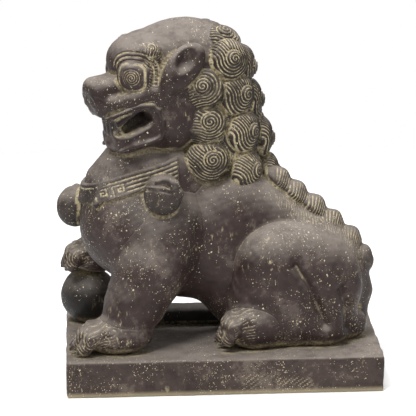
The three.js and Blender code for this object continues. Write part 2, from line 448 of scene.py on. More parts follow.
# %% Muzzle, nose, lower jaw and teeth
muzzle = scooped(
    pressed(head_block(63, 0, 294, (25, 20, 19.5), 10, -13), lips, soft=4), slot, soft=2
)
nose = pressed(
    head_ovoid(80, 0, 303, (11, 17, 8), -13),
    head_ovoid(82, 12, 290, (8, 8, 8.5)),
    head_ovoid(82, -12, 290, (8, 8, 8.5)),
    soft=6,
)
NOSTRIL = (((88, 15, 287), 1.5), ((91, 11, 290), 3.4), ((88, 8, 294), 1.5))
for side in (-1, 1):
    nose = scooped(nose, head_limb(*to_side(NOSTRIL, side)), 2)
lower_jaw = scooped(
    pressed(
        head_ovoid(37, 0, 250, (31, 36, 12), -16),
        head_limb(((53, -14, 245), 8.5), ((59, 0, 244), 8.5), ((53, 14, 245), 8.5)),
        soft=8,
    ),
    slot,
    soft=3,
)
front_teeth = pressed(
    *(
        head_limb(((69 - (s / 7) ** 2, s, 270), 4.4), ((67 - (s / 7) ** 2, s, 256), 4.2))
        for s in (-16, -10, -3.5, 3.5, 10, 16)
    ),
    soft=1.5,
)


# %% Eyes, brows and ears
FAR_EYE_DEPTH = 4.5  # mm: the far eye and brow sit that much deeper in the head


def eye(side):
    depth = FAR_EYE_DEPTH if side < 0 else 0
    return head_ovoid(50.5 - depth, side * 28, 315, (17.5, 10.5, 17), 0, side * -39)


def brow(side):
    depth = FAR_EYE_DEPTH if side < 0 else 0
    roll = (((55, 6, 333), 5), ((48, 20, 337), 5.5), ((39, 32, 338), 5.5))
    lid = (((61, 12, 325), 2.2), ((56, 21, 331), 2.4), ((48, 30, 332), 2.4),
           ((41, 36, 326), 2.4), ((38, 39, 314), 2.4), ((40, 37, 301), 2))
    roll, lid = (
        head_limb(*to_side([((f - depth, s, z), r) for (f, s, z), r in line], side), soft=soft)
        for line, soft in ((roll, 6), (lid, 1.5))
    )
    pad = head_ovoid(45 - depth, side * 24.5, 315, (20, 6.5, 19), 0, side * -39)  # socket's cushion
    temple = head_ovoid(34, side * 33, 339, (11, 7, 9))
    return pressed(pressed(roll, pad, temple, soft=6), lid, soft=2)


def ear(side):
    shell = pressed(
        head_ovoid(3, side * 46, 325, (17.5, 10.5, 26), 42),
        head_limb(((16, side * 43, 309), 11), ((26, side * 39, 291), 8)),
        soft=10,
    )
    return scooped(shell, head_ovoid(5, side * 58, 332, (9, 10, 13), 42), soft=5)


# %% The mane: each curl is a pillow that bulges from the hood
CURLS = sorted(n for n in frame["nodes"] if n.startswith("curl_"))
Curl = namedtuple("Curl", "name at out along across eye ray")
HOOD_AXIS = np.array(on_head(-40, 0, 262))
CURL_SIZE = np.array((22, 12.5, 21))
# where each curl's coil sits (away from the face, up; mm) and which way its strands leave it
COMBING = {
    "cheek_1": ((3, 5), 193), "cheek_2": ((7, 4), 165), "cheek_3": ((7, 3), 132),
    "side_1": ((-1, 0), 100), "side_2": ((4, 2), 100), "side_3": ((3, 1), 104),
    "side_4": ((2, 1), 120), "back_1": ((0, -2), 96), "back_2": ((0, -1), 98),
    "back_3": ((0, -2), 100), "back_4": ((0, 0), 110), "crown": ((0, 0), 130),
}


COMB_SHIFT = {  # mm forwards and down, where hair hangs lower than the plain solids
    "cheek_1": (4, 3), "cheek_2": (4, 5), "cheek_3": (4, 7), "side_3": (0, 3), "side_4": (4, 9),
    "back_2": (0, 3), "back_3": (0, 8), "back_4": (0, 15),
}


def curl_of(node):
    """Where a curl sits, the way it faces, and the two directions across its face."""
    forward, drop = COMB_SHIFT.get(node.split("_", 2)[2], (0, 0))
    at = middle(node) + (*(forward * FORWARD), -drop)
    out = at - HOOD_AXIS
    out[2] = 1.6 * max(0, at[2] - 320)
    out /= np.linalg.norm(out)
    side = 1 if "_left_" in node else -1
    across = np.cross((0, 0, 1), out) * side  # away from the face
    across /= np.linalg.norm(across)
    along = np.cross(out, across) * side
    (back, up), degrees = COMBING[node.split("_", 2)[2]]
    ray = np.array((math.cos(math.radians(degrees)), math.sin(math.radians(degrees))))
    seat = 7 if "_back_" in node else 4
    return Curl(node, at - out * seat, out, along, across, np.array((back, up)), ray)


curls = [curl_of(node) for node in CURLS]


def pillow(curl):
    turned = np.stack([curl.across, curl.out, curl.along], 1).astype(np.float32)
    size = CURL_SIZE.astype(np.float32) * np.float32(0.9 if curl.name.endswith("crown") else 1)
    at, reach = curl.at.astype(np.float32), CURL_SIZE[0]
    return Form(ellipsoid(at, size, turned), curl.at - reach, curl.at + reach)


# %% [markdown]
# ## Collar and bells
#
# The collar is a flat ribbon laid over throat and chest, with a keel that runs down its front and
# a bell tucked under each end.

# %% Collar halves and bells
COLLAR_MIDDLE = -34.0  # mm: where the keel stands, left of the spine
KEEL = (((-107, -17, 230), 3), ((-116, -30, 206), 3.5), ((-126, -40, 184), 3.5))


def under_edge(x):
    return 184 + (x + 131) * 0.3


def over_edge(x):
    return 208 + (x + 114) * 0.34


def ribbon(side):
    """A skin over throat and chest between two sloping edges."""

    def dist(p):
        x, y, z = p.T
        skin = press(chest.dist(p), throat.dist(p), 10) - 4.5
        half = (y - COLLAR_MIDDLE) * side
        return np.maximum.reduce(
            [skin, -skin - 10, x + 43, half, under_edge(x) - z, z - over_edge(x)]
        )

    low = (-150, COLLAR_MIDDLE if side < 0 else -72, 172)
    high = (-39, 72 if side < 0 else COLLAR_MIDDLE, 234)
    band = Form(dist, np.array(low), np.array(high))
    return pressed(band, limb(*KEEL, soft=3), soft=3) if side > 0 else band


def bell(node):
    """A dark knob in a raised rim, with two strap ends hooked over it."""
    near_side = node == "bell_left"
    at = middle(node) + ((-2, 0, 4) if near_side else (0, 0, 1))
    x, y, z = (box_mm(node)[1] - box_mm(node)[0]) / 2 * (1.04 if near_side else 1.1)
    out, from_side = (-1, -1) if near_side else (1, 1)
    knob = ovoid(at, (x, y * 0.92, z))

    def rim_at(degrees, r):
        a = math.radians(degrees)
        return (at + (x * 0.78 * math.cos(a), out * y * 0.62, z * 0.8 * math.sin(a)), r)

    crescent = ((115, 2), (80, 3.6), (45, 4.8), (10, 4.6), (-30, 2.5))  # degrees, radius
    rim = limb(*(rim_at(degrees, r) for degrees, r in crescent), soft=3)
    straps = [
        limb((at + (from_side * x * 0.9, out * y * 0.5, z * h + 1), 1.3),
             (at + (0, out * y * 0.9, z * h), 1.5),
             (at + (-from_side * x * 0.35, out * y * 0.85, z * h - 2), 1.2), soft=2)
        for h in (0.42, 0.18)
    ]
    return pressed(knob, rim, *straps, soft=1.2)


ball_form = ovoid(middle("ball") - (5, 0, 0), (box_mm("ball")[1] - box_mm("ball")[0]) / 2 * 1.05)
sash_form = slab(*box_mm("ball_sash"), 5)
plinth_form = slab(PLINTH_LOW, PLINTH_HIGH, 2.6)

# %% [markdown]
# ## Which piece is which
#
# Pieces that are luted together share one smooth surface. Each entry gives a node, its form and
# how softly it is pressed onto what comes before it.

# %% The families of pieces
BODY = [("trunk", trunk, 0), ("throat", throat, 16)]
for side, m in (("left", as_is), ("right", other_side)):
    BODY += [(f"{side}_thigh", haunch(m), 4)]
BODY += [("left_foreleg", left_foreleg, 9), ("right_foreleg", right_foreleg, 9)]
BODY += [(f"{side}_{kind}", paw(f"{side}_{kind}"), 6)
         for side in ("left", "right") for kind in ("hind_foot", "forepaw")]
BODY += [(node, tuft(node), 3) for node in CREST] + [("tail", tail, 8)]
HEAD = [("face", face, 0), ("mane_hood", hood, 5), ("muzzle", muzzle, 4),
        ("lower_jaw", lower_jaw, 6), ("front_teeth", front_teeth, 2), ("nose", nose, 5)]
for side, sign in (("left", 1), ("right", -1)):
    HEAD += [(f"{side}_brow", brow(sign), 4), (f"{side}_ear", ear(sign), 4),
             (f"{side}_eye", eye(sign), 0.8)]
HEAD += [(curl.name, pillow(curl), 2.5) for curl in curls]
COLLAR = [("collar_left", ribbon(1), 0), ("collar_right", ribbon(-1), 0),
          ("bell_left", bell("bell_left"), 1), ("bell_right", bell("bell_right"), 1)]
BASE = [("ball", ball_form, 0), ("ball_sash", sash_form, 0)]
PLINTH = [("plinth", plinth_form, 0)]
FAMILIES = [PLINTH, BASE, BODY, HEAD, COLLAR]
missing = set(frame["nodes"]) - {name for family in FAMILIES for name, *_ in family}
print("pieces:", sum(map(len, FAMILIES)), "nodes without a form:", sorted(missing))

# %% [markdown]
# ## From fields to meshes
#
# Every piece is meshed on a lattice of points at whole multiples of its own spacing, so two pieces
# with the same spacing that share a surface get the same points along it. Beyond its own border a
# piece dives under its neighbour.

# %% Carving a piece out of its family
BLOCK = 4  # fine points along one side of a coarse block


def near(family, low, high, margin=16):
    return [
        m for m in family
        if (m[1].low - margin < high).all() and (m[1].high + margin > low).all()
    ]


def family_distance(members, p):
    total = None
    for _, form, soft in members:
        d = form.dist(p)
        total = d if total is None else press(total, d, soft)
    return total


def piece_distance(name, members, p):
    total, own, others = None, None, np.full(len(p), 1e3, np.float32)
    for member, form, soft in members:
        d = form.dist(p)
        total = d if total is None else press(total, d, soft)
        if member == name:
            own = d
        else:
            others = np.minimum(others, d)
    beyond = own - others
    return np.maximum(total + 0.6 * np.maximum(beyond, 0), beyond - 6)


def carve(distance, low, high, grain):
    """Points and quads of the zero surface of distance() inside the box."""
    cell = grain * BLOCK
    first = np.floor(low / cell).astype(int) - 1
    count = np.ceil(high / cell).astype(int) + 1 - first
    axes = [(np.arange(n) + f + 0.5) * cell for n, f in zip(count, first)]
    centres = np.stack(np.meshgrid(*axes, indexing="ij"), -1).reshape(-1, 3).astype(np.float32)
    coarse = distance(centres)
    field = coarse.reshape(count).astype(np.float32)
    for axis in range(3):
        field = np.repeat(field, BLOCK, axis)
    blocks = np.argwhere(np.abs(coarse).reshape(count) < cell * 1.5)
    steps = np.stack(np.meshgrid(*[np.arange(BLOCK)] * 3, indexing="ij"), -1).reshape(-1, 3)
    fine = (blocks[:, None] * BLOCK + steps).reshape(-1, 3)
    field[tuple(fine.T)] = distance(((fine + first * BLOCK) * grain).astype(np.float32))
    grid = openvdb.FloatGrid()
    grid.copyFromArray(np.ascontiguousarray(field))
    points, quads = grid.convertToQuads(0.0)
    return points * grain + first * cell, quads


def grain_of(name):
    """How far apart the lattice points are, in mm: finer where the clay is combed."""
    if name.endswith("eye"):
        grain = 0.75
    elif name.startswith(("collar", "bell")) or name.endswith("brow") or name == "nose":
        grain = 0.9
    elif name.startswith(("curl", "crest")):
        grain = 0.95
    elif name in ("face", "muzzle", "lower_jaw", "front_teeth"):
        grain = 1.05
    elif name.endswith(("ear", "foot", "paw")):
        grain = 1.15
    elif name in ("trunk", "mane_hood"):
        grain = 1.35
    else:
        grain = 1.5
    return grain * 1


# %% [markdown]
# ## Comb marks
#
# The hair is combed into the clay with a toothed tool, so its grooves are evenly spaced. A groove
# pattern is a phase that grows by one from groove to groove. Strands that leave a spiral are the
# level lines of the distance to a ray, turned once round the spiral's centre.

# %% Grooves, spirals and the slow unevenness of a hand-made surface
def smooth(low, high, value):
    t = np.clip((value - low) / (high - low), 0, 1)
    return t * t * (3 - 2 * t)


def unevenness(p, wavelength, seed):
    """A slow, smooth, repeatable wobble between about -1 and 1."""
    draw = np.random.default_rng(seed)
    total = np.zeros(len(p), np.float32)
    for _ in range(7):
        way = draw.normal(size=3)
        way *= 2 * math.pi / np.linalg.norm(way) / (wavelength * draw.uniform(0.6, 1.6))
        total += np.sin(p @ way.astype(np.float32) + np.float32(draw.uniform(0, 6.28)))
    return total / 3.2


def grooves(phase, depth):
    """Height in mm and groove mask of a comb pattern."""
    cut = (0.5 + 0.5 * np.cos(2 * math.pi * phase)) ** 1.6
    return depth * (0.3 - cut), cut


def swirl(u, v, ray, spacing, coil=0.0):
    """Phase of strands that wind round a coil at (0, 0) and stream off along ray."""
    along = np.maximum(0, u * ray[..., 0] + v * ray[..., 1])
    away = np.hypot(u - along * ray[..., 0], v - along * ray[..., 1])
    away = np.where(np.hypot(u, v) < coil, np.hypot(u, v), away)
    turn = np.arctan2(v * ray[..., 0] - u * ray[..., 1], u * ray[..., 0] + v * ray[..., 1])
    waves = np.where(np.hypot(u, v) < coil, 0, 0.3 * np.sin(along / 4.2))
    return away / spacing + np.mod(turn / (2 * math.pi), 1) + waves


# %% Relief of the mane
HAIR_SPACING = 3.1  # mm between comb grooves
COIL = 9.0  # mm: radius of the round coil in each curl
ACROSS, ALONG, AT, EYE, RAY = (
    np.array([getattr(curl, field) for curl in curls], np.float32)
    for field in ("across", "along", "at", "eye", "ray")
)
pillows = [pillow(c) for c in curls]


def mane_relief(p):
    nearest, second = np.full(len(p), 1e3, np.float32), np.full(len(p), 1e3, np.float32)
    owner = np.zeros(len(p), int)
    for i, form in enumerate(pillows):
        close = ((p > form.low - 30) & (p < form.high + 30)).all(1)
        d = form.dist(p[close])
        n, s = nearest[close], second[close]
        owner[np.flatnonzero(close)[d < n]] = i
        second[close] = np.where(d < n, n, np.minimum(s, d))
        nearest[close] = np.minimum(n, d)
    local = p - AT[owner]
    u = (local * ACROSS[owner]).sum(1) - EYE[owner, 0]
    v = (local * ALONG[owner]).sum(1) - EYE[owner, 1]
    height, cut = grooves(swirl(u, v, RAY[owner], HAIR_SPACING, COIL), 1.3)
    from_middle = np.hypot(u, v)
    streaming = u * RAY[owner, 0] + v * RAY[owner, 1] > 1
    rim = smooth(1.4, 0.3, np.abs(from_middle - COIL)) * streaming
    height += 2.2 * smooth(COIL + 0.4, COIL - 5, from_middle) - 0.9 * rim  # the coil stands up
    cut = np.maximum(cut, rim)
    seam = smooth(0.2, 2.2, second - nearest)
    return height * seam - (1 - seam) * 1.2, np.maximum(cut * seam, 0.8 * (1 - seam))


# %% Relief of the crest
CREST_LINE = np.array([middle(node) for node in CREST])


def crest_relief(p):
    """Wavy strands that fan down both flanks from the spine, one fan under each tuft."""
    x, y, z = p.T
    slope = x * 0.73 - z * 0.68  # distance down the spine
    roots = CREST_LINE[:, 0] * 0.73 - CREST_LINE[:, 2] * 0.68
    step = np.argmin(np.abs(slope[:, None] - roots), 1)
    from_root = slope - roots[step]
    down = np.abs(y)
    phase = (from_root * 1.0 - down * 0.42 + 1.6 * np.sin(down / 5.5)) / 3.2
    height, cut = grooves(phase, 0.7)
    above = z - np.interp(x, CREST_LINE[:, 0], CREST_LINE[:, 2])
    reach = smooth(31, 26, down) * smooth(2.5, 5, down) * smooth(-34, -26, above)
    reach *= smooth(54, 60, x) * smooth(150, 144, x)
    return height * reach, cut * reach


# %% Two valleys down the outside of each thigh
THIGH_VALLEYS = (((74, 124), (87, 99), (103, 62)), ((121, 96), (128, 74), (129, 52)))  # x and z


def valley_relief(p):
    away = np.full(len(p), 1e3, np.float32)
    place = p[:, (0, 2)]
    for line in THIGH_VALLEYS:
        for start, end in zip(line, line[1:]):
            run = np.subtract(end, start).astype(np.float32)
            part = np.clip((place - start) @ run / (run @ run), 0, 1)
            away = np.minimum(away, np.hypot(*(place - start - part[:, None] * run).T))
    valley = np.exp(-((away / 5.5) ** 2)) * smooth(34, 52, np.abs(p[:, 1]))
    return -7.5 * valley, 0.7 * smooth(0.75, 1.0, valley) * smooth(-0.2, 0.6, unevenness(p, 16, 12))


# %% Relief of the eyes, temples and brows
EYE_HALF = 13.6  # mm: half the width of the ring round an eye


def on_head_directions(p):
    """Turns millimetres of the model into f, s and z of the head."""
    flat = p[:, :2] - HEAD_AT.astype(np.float32)
    return flat @ FORWARD.astype(np.float32), flat @ LEFTWARD.astype(np.float32), p[:, 2]


def from_eye(p, power):
    """Across (a) and up (b) from the nearer eye, s of the head, and how far out of its rounded
    square a point lies: 1 on its edge; a higher power makes the corners sharper."""
    f, s, z = on_head_directions(p)
    f, s = f + FAR_EYE_DEPTH * (s < 0), np.abs(s)
    a, b = (f - 51) * 0.777 - (s - 29) * 0.629, z - 315
    box = ((np.abs(a) / EYE_HALF) ** power + (np.abs(b) / EYE_HALF) ** power) ** (1 / power)
    return a, b, s, box


def eye_relief(p):
    a, b, _, box = from_eye(p, 3.2)
    iris = np.hypot(a + 0.5, b)
    turn = np.arctan2(b, a) / (2 * math.pi)
    height, cut = grooves(iris / 2.3 + turn, 0.5)
    inside = smooth(10, 8.8, iris)
    ring, ring_cut = grooves(box * 2.0, 0.55)
    ring_on = (1 - inside) * smooth(1.3, 1.15, box)
    return height * inside + ring * ring_on, cut * inside + ring_cut * ring_on


def brow_relief(p):
    """Three folds that arch over the eye and run down behind it."""
    a, b, s, box = from_eye(p, 2.6)
    height, cut = grooves(box * 3.3 + 0.1, 0.9)
    on = smooth(1.1, 1.2, box) * smooth(2.0, 1.85, box)
    on *= smooth(-6, 4, b - 0.35 * a) * smooth(4, 9, s)
    return height * on, cut * on


def temple_relief(p):
    """A spiral at the temple with a column of short comb strokes under it."""
    f, s, z = on_head_directions(p)
    a, b = f - 34, z - 344
    height, cut = grooves(swirl(a, b, np.array((0.3, -0.95)), 2.6), 0.55)
    spiral = smooth(10, 8, np.hypot(a, b)) * smooth(20, 26, np.abs(s))
    bow = (a + 1) ** 2 * 0.07
    strokes, strokes_cut = grooves((z - bow) / 3.1, 0.6)
    column = smooth(8.5, 6.5, np.abs(a - 0.5)) * smooth(338, 335, z) * smooth(302, 305, z)
    column *= smooth(24, 28, np.abs(s))
    return height * spiral + strokes * column, cut * spiral + strokes_cut * column


# %% Relief of the collar: straps, and a square meander beside the keel
def key_pattern(u, v):
    """Mask of a square meander, u along and v across the band, 14 mm per repeat."""
    u = np.mod(u, 14) - 7
    d = np.full(len(u), 1e3, np.float32)
    path = ((-6, -4), (-6, 4), (3, 4), (3, -1.5), (-1.5, -1.5), (-1.5, 1), (0.6, 1))
    for (ax, ay), (bx, by) in zip(path, path[1:] + ((0.6, 1),)):
        dx, dy = bx - ax, by - ay
        t = np.clip(((u - ax) * dx + (v - ay) * dy) / max(dx * dx + dy * dy, 1e-6), 0, 1)
        d = np.minimum(d, np.hypot(u - ax - t * dx, v - ay - t * dy))
    return smooth(1.1, 0.4, d)


def collar_relief(p):
    x, y, z = p.T
    low, high = under_edge(x), over_edge(x)
    up = (z - low) / (high - low)
    _, line_cut = grooves(up * 5.0, 0.5)
    on_band = smooth(0.04, 0.12, up) * smooth(0.98, 0.9, up)
    on_band *= smooth(2.5, 5, np.abs(y - COLLAR_MIDDLE))
    beside_keel = smooth(-92, -100, x)
    middle_row = smooth(0.1, 0.16, up) * smooth(0.68, 0.62, up)
    key = key_pattern((x + 116) * 0.9 + (y + 30) * 0.4, (up - 0.4) * (high - low) * 0.9)
    mix = beside_keel * middle_row
    cut = (line_cut * (1 - mix) + key * mix) * on_band
    return -0.55 * cut, cut


# %% Relief of feet, plinth and everything else
def scroll_relief(p, node):
    """Curled tool marks on the outer face of a paw."""
    at = middle(node)
    half = (box_mm(node)[1] - box_mm(node)[0]) / 2
    a, b = p[:, 0] - at[0] + half[0] * 0.45, p[:, 2] - at[2] - half[2] * 0.1
    height, cut = grooves(swirl(a, b, np.array((1.0, 0.35)), 2.9), 0.4)
    mask = smooth(0.7, 0.2, unevenness(p, 9, 5)) * smooth(half[0] * 0.75, half[0] * 0.5, np.abs(a))
    return height * mask, cut * mask


def plinth_relief(p):
    x, y, z = p.T
    height, cut = grooves((x * 0.62 - z * 0.78 + 0.8 * np.sin(x / 9)) / 3.6, 0.45)
    band = smooth(25, 17, z + 4 * unevenness(p, 22, 8)) * smooth(-10, 25, x) * smooth(128, 105, x)
    band *= smooth(-97, -99, y) * smooth(-0.1, 0.5, unevenness(p, 30, 9))
    return height * band + 0.45 * unevenness(p, 38, 3), cut * band


def relief(name, p):
    """Height in mm along the normal, and how deep in a groove each point lies (0 to 1)."""
    height, cut = np.zeros(len(p), np.float32), np.zeros(len(p), np.float32)
    parts = []
    if name.startswith(("curl", "mane")):
        parts.append(mane_relief(p))
    elif name.endswith("eye"):
        parts.append(eye_relief(p))
    elif name == "plinth":
        parts.append(plinth_relief(p))
    elif name.startswith("collar"):
        parts.append(collar_relief(p))
    elif name.endswith(("foot", "paw")):
        parts.append(scroll_relief(p, name))
    if name == "trunk" or name.startswith("crest") or name.endswith("thigh"):
        parts.append(crest_relief(p))
    if name == "trunk" or name.endswith("thigh"):
        parts.append(valley_relief(p))
    if name == "face" or name.endswith("brow"):
        parts += [temple_relief(p), brow_relief(p)]
    for part_height, part_cut in parts:
        height, cut = height + part_height, np.maximum(cut, part_cut)
    height += 0.3 * unevenness(p, 26, 1) + 0.12 * unevenness(p, 8, 2)
    if name == "plinth":
        height *= smooth(0, 3, p[:, 2])  # the underside stays flat on the floor
    return height.astype(np.float32), np.clip(cut, 0, 1).astype(np.float32)


# %% [markdown]
# ## Where dust stays, where shade is painted and where hands rub
#
# Lime and dust stay in every corner, and corners are also darkened as painted shade. Raised
# places are rubbed dark and smooth. Both can be read from the fields: a little way out from a
# corner the clay is still close, and a little way in from a ridge the surface is too.

# %% Sheltered places, which hold lime and painted shade, and rubbed places
ALL_MEMBERS = [member for family in FAMILIES for member in family]


def closest(members, p):
    total = None
    for family in FAMILIES:
        here = [m for m in members if any(m is f for f in family)]
        if here:
            d = family_distance(here, p)
            total = d if total is None else np.minimum(total, d)
    return total


def shelter_and_wear(form, p, normal):
    members = near(ALL_MEMBERS, form.low, form.high, 14)
    sheltered = np.zeros(len(p), np.float32)
    # sheltered places both the lime in corners and the painted shade that darkens them.
    for reach, weight in ((4, 0.5), (12, 0.5)):
        sheltered += weight * np.clip(1 - closest(members, p + normal * reach) / reach, 0, 1)
    rubbed = np.clip(1 + closest(members, p - normal * 7) / 7, 0, 1)
    return sheltered, rubbed.astype(np.float32)


# %% [markdown]
# ## Cast stone, dust, lime and wax, with a painted sheen and painted shade
#
# The casting is a purple-brown cement, waxed and rubbed. Four effects make its look, and every
# material uses them with its own amounts, so each effect is a node group: mottled stone, pale
# lime in the grooves, dust with a painted sheen on upward faces, and lime specks like grains of
# rice.

# %% Helpers for node groups
def new_group(name, inputs, outputs):
    """A shader node group from (name, kind, default) of inputs and (name, kind) of outputs."""
    group = bpy.data.node_groups.new(name, "ShaderNodeTree")
    for label, kind, default in inputs:
        socket = group.interface.new_socket(label, in_out="INPUT", socket_type=f"NodeSocket{kind}")
        socket.default_value = default
    for label, kind in outputs:
        group.interface.new_socket(label, in_out="OUTPUT", socket_type=f"NodeSocket{kind}")
    return group, group.nodes.new("NodeGroupInput"), group.nodes.new("NodeGroupOutput")


def put(tree, target, value):
    """Sets a socket to a value, or links it to another socket."""
    if isinstance(value, bpy.types.NodeSocket):
        tree.links.new(value, target)
    else:
        target.default_value = value


def noise(tree, scale, detail=3, rough=0.55, offset=(0, 0, 0)):
    """Object-space noise, scale in lumps per metre."""
    place = tree.nodes.new("ShaderNodeTexCoord").outputs["Object"]
    if any(offset):
        shift = tree.nodes.new("ShaderNodeVectorMath")
        shift.inputs[1].default_value = offset
        tree.links.new(place, shift.inputs[0])
        place = shift.outputs[0]
    node = tree.nodes.new("ShaderNodeTexNoise")
    node.inputs["Detail"].default_value, node.inputs["Roughness"].default_value = detail, rough
    put(tree, node.inputs["Scale"], scale)
    tree.links.new(place, node.inputs["Vector"])
    return node.outputs["Fac"]


def maths(tree, kind, a, b=0.0, clamp=False):
    node = tree.nodes.new("ShaderNodeMath")
    node.operation, node.use_clamp = kind, clamp
    put(tree, node.inputs[0], a)
    put(tree, node.inputs[1], b)
    return node.outputs[0]


def times(tree, a, b, clamp=False):
    return maths(tree, "MULTIPLY", a, b, clamp)


def blend_values(tree, a, share_a, b, share_b):
    return maths(tree, "ADD", times(tree, a, share_a), times(tree, b, share_b))


def ramp(tree, value, low, high, to_low=0.0, to_high=1.0):
    node = tree.nodes.new("ShaderNodeMapRange")
    node.interpolation_type = "SMOOTHSTEP"
    for socket, number in zip(("Value", "From Min", "From Max", "To Min", "To Max"),
                              (value, low, high, to_low, to_high)):
        put(tree, node.inputs[socket], number)
    return node.outputs["Result"]


def blend(tree, amount, a, b):
    node = tree.nodes.new("ShaderNodeMix")
    node.data_type = "RGBA"
    put(tree, node.inputs[0], amount)
    put(tree, node.inputs[6], a)
    put(tree, node.inputs[7], b)
    return node.outputs[2]


# %% Mottled stone: a base colour that wanders between three tones
def mottled_stone():
    tree, given, out = new_group(
        "mottled_stone",
        [("Dark", "Color", (0.04, 0.03, 0.03, 1)), ("Mid", "Color", (0.08, 0.06, 0.055, 1)),
         ("Pale", "Color", (0.15, 0.12, 0.11, 1)), ("Rubbed", "Float", 0.5)],
        [("Color", "Color"), ("Roughness", "Float"), ("Height", "Float")],
    )
    broad, fine, grit = noise(tree, 26, 5, 0.65), noise(tree, 160, 5, 0.75), noise(tree, 900, 2)
    tone = blend_values(tree, broad, 0.6, fine, 0.4)
    base = blend(tree, ramp(tree, tone, 0.36, 0.54), given.outputs["Dark"], given.outputs["Mid"])
    pale_on = times(tree, ramp(tree, tone, 0.52, 0.61), 0.75)
    base = blend(tree, pale_on, base, given.outputs["Pale"])
    # Rubbed places darken towards the dark tone; on the right forepaw this input also carries
    # painted shade.
    wear_and_shade_ramp = ramp(tree, given.outputs["Rubbed"], 0.42, 0.75)
    base = blend(tree, times(tree, wear_and_shade_ramp, 0.5), base, given.outputs["Dark"])
    tree.links.new(base, out.inputs["Color"])
    worn = times(tree, wear_and_shade_ramp, 0.1)
    rough = maths(tree, "SUBTRACT", ramp(tree, fine, 0.3, 0.7, 0.42, 0.66), worn)
    tree.links.new(rough, out.inputs["Roughness"])
    height = blend_values(tree, fine, 0.7, grit, 0.3)
    tree.links.new(height, out.inputs["Height"])
    return tree


# %% Lime in the grooves and corners
def pocket_lime():
    tree, given, out = new_group(
        "pocket_lime",
        [("Incised", "Float", 0.0), ("Sheltered", "Float", 0.0), ("Amount", "Float", 0.6)],
        [("Mask", "Float")],
    )
    patchy = ramp(tree, noise(tree, 75, 4, 0.6, (0.3, 0, 0)), 0.26, 0.6)
    crumbly = ramp(tree, noise(tree, 420, 3, 0.6, (0, 0.2, 0)), 0.35, 0.6, 0.25, 1)
    groove = ramp(tree, given.outputs["Incised"], 0.35, 0.95)
    corner = ramp(tree, given.outputs["Sheltered"], 0.34, 0.62)
    held = maths(tree, "MAXIMUM", groove, times(tree, corner, 0.75))
    mask = times(tree, times(tree, held, crumbly), patchy)
    mask = times(tree, mask, given.outputs["Amount"], clamp=True)
    tree.links.new(mask, out.inputs["Mask"])
    return tree


# %% Dust on whatever faces up, together with a painted sheen that lightens upward faces
def settled_dust():
    tree, given, out = new_group("settled_dust", [("Amount", "Float", 0.5)], [("Mask", "Float")])
    facing = tree.nodes.new("ShaderNodeSeparateXYZ")
    tree.links.new(tree.nodes.new("ShaderNodeNewGeometry").outputs["Normal"], facing.inputs[0])
    # The upward mask is partly dust and partly a painted sheen of light from above.
    up = ramp(tree, facing.outputs["Z"], 0.1, 0.8)
    cloud = ramp(tree, noise(tree, 60, 7, 0.75, (0, 0, 0.4)), 0.36, 0.58, 0.55, 1)
    mask = times(tree, up, cloud)
    mask = times(tree, mask, given.outputs["Amount"], clamp=True)
    tree.links.new(mask, out.inputs["Mask"])
    return tree


# %% Lime specks: small, lengthened, in drifts
def lime_specks():
    tree, given, out = new_group(
        "lime_specks", [("Amount", "Float", 0.5), ("Scale", "Float", 300.0)], [("Mask", "Float")]
    )
    place = tree.nodes.new("ShaderNodeTexCoord")
    ragged = tree.nodes.new("ShaderNodeTexNoise")
    ragged.inputs["Scale"].default_value = 900
    tree.links.new(place.outputs["Object"], ragged.inputs["Vector"])
    shift = tree.nodes.new("ShaderNodeVectorMath")
    shift.operation = "MULTIPLY_ADD"
    shift.inputs[1].default_value = (0.0016, 0.0016, 0.0026)
    tree.links.new(ragged.outputs["Color"], shift.inputs[0])
    tree.links.new(place.outputs["Object"], shift.inputs[2])
    cells = tree.nodes.new("ShaderNodeTexVoronoi")
    tree.links.new(shift.outputs[0], cells.inputs["Vector"])
    tree.links.new(given.outputs["Scale"], cells.inputs["Scale"])
    chance = tree.nodes.new("ShaderNodeSeparateColor")
    tree.links.new(cells.outputs["Color"], chance.inputs[0])
    drift = ramp(tree, noise(tree, 24, 3, 0.6, (0.5, 0.1, 0)), 0.38, 0.66, 0.04, 1.0)
    allowed = times(tree, drift, given.outputs["Amount"])
    chosen = maths(tree, "LESS_THAN", chance.outputs["Red"], allowed)
    size = ramp(tree, chance.outputs["Green"], 0.0, 1.0, 0.08, 0.34)
    dot = maths(tree, "LESS_THAN", cells.outputs["Distance"], size)
    tree.links.new(times(tree, chosen, dot), out.inputs["Mask"])
    return tree


# %% Scuffs: short smears of lime that were never rubbed off
def lime_smears():
    tree, given, out = new_group("lime_smears", [("Amount", "Float", 0.5)], [("Mask", "Float")])
    stretch = tree.nodes.new("ShaderNodeMapping")
    stretch.inputs["Rotation"].default_value = (0.5, 0.4, 0.3)
    stretch.inputs["Scale"].default_value = (1, 1, 0.35)
    tree.links.new(tree.nodes.new("ShaderNodeTexCoord").outputs["Object"], stretch.inputs["Vector"])
    streak = tree.nodes.new("ShaderNodeTexNoise")
    streak.inputs["Scale"].default_value, streak.inputs["Detail"].default_value = 240, 5
    streak.inputs["Roughness"].default_value = 0.7
    tree.links.new(stretch.outputs[0], streak.inputs["Vector"])
    where = ramp(tree, noise(tree, 17, 3, 0.6, (0.2, 0.7, 0)), 0.5, 0.68)
    mask = times(tree, ramp(tree, streak.outputs["Fac"], 0.56, 0.68), where)
    mask = times(tree, mask, given.outputs["Amount"], clamp=True)
    tree.links.new(mask, out.inputs["Mask"])
    return tree


EFFECTS = (mottled_stone, pocket_lime, settled_dust, lime_specks, lime_smears)
GROUPS = {group.name: group for group in (effect() for effect in EFFECTS)}
print("node groups:", sorted(GROUPS))

# %% [markdown]
# ## One finish for each slot of the record
#
# The figures below say how the same casting differs from place to place: the mane holds most
# lime, the ball is nearly black, the plinth is dusty along its lower edge.

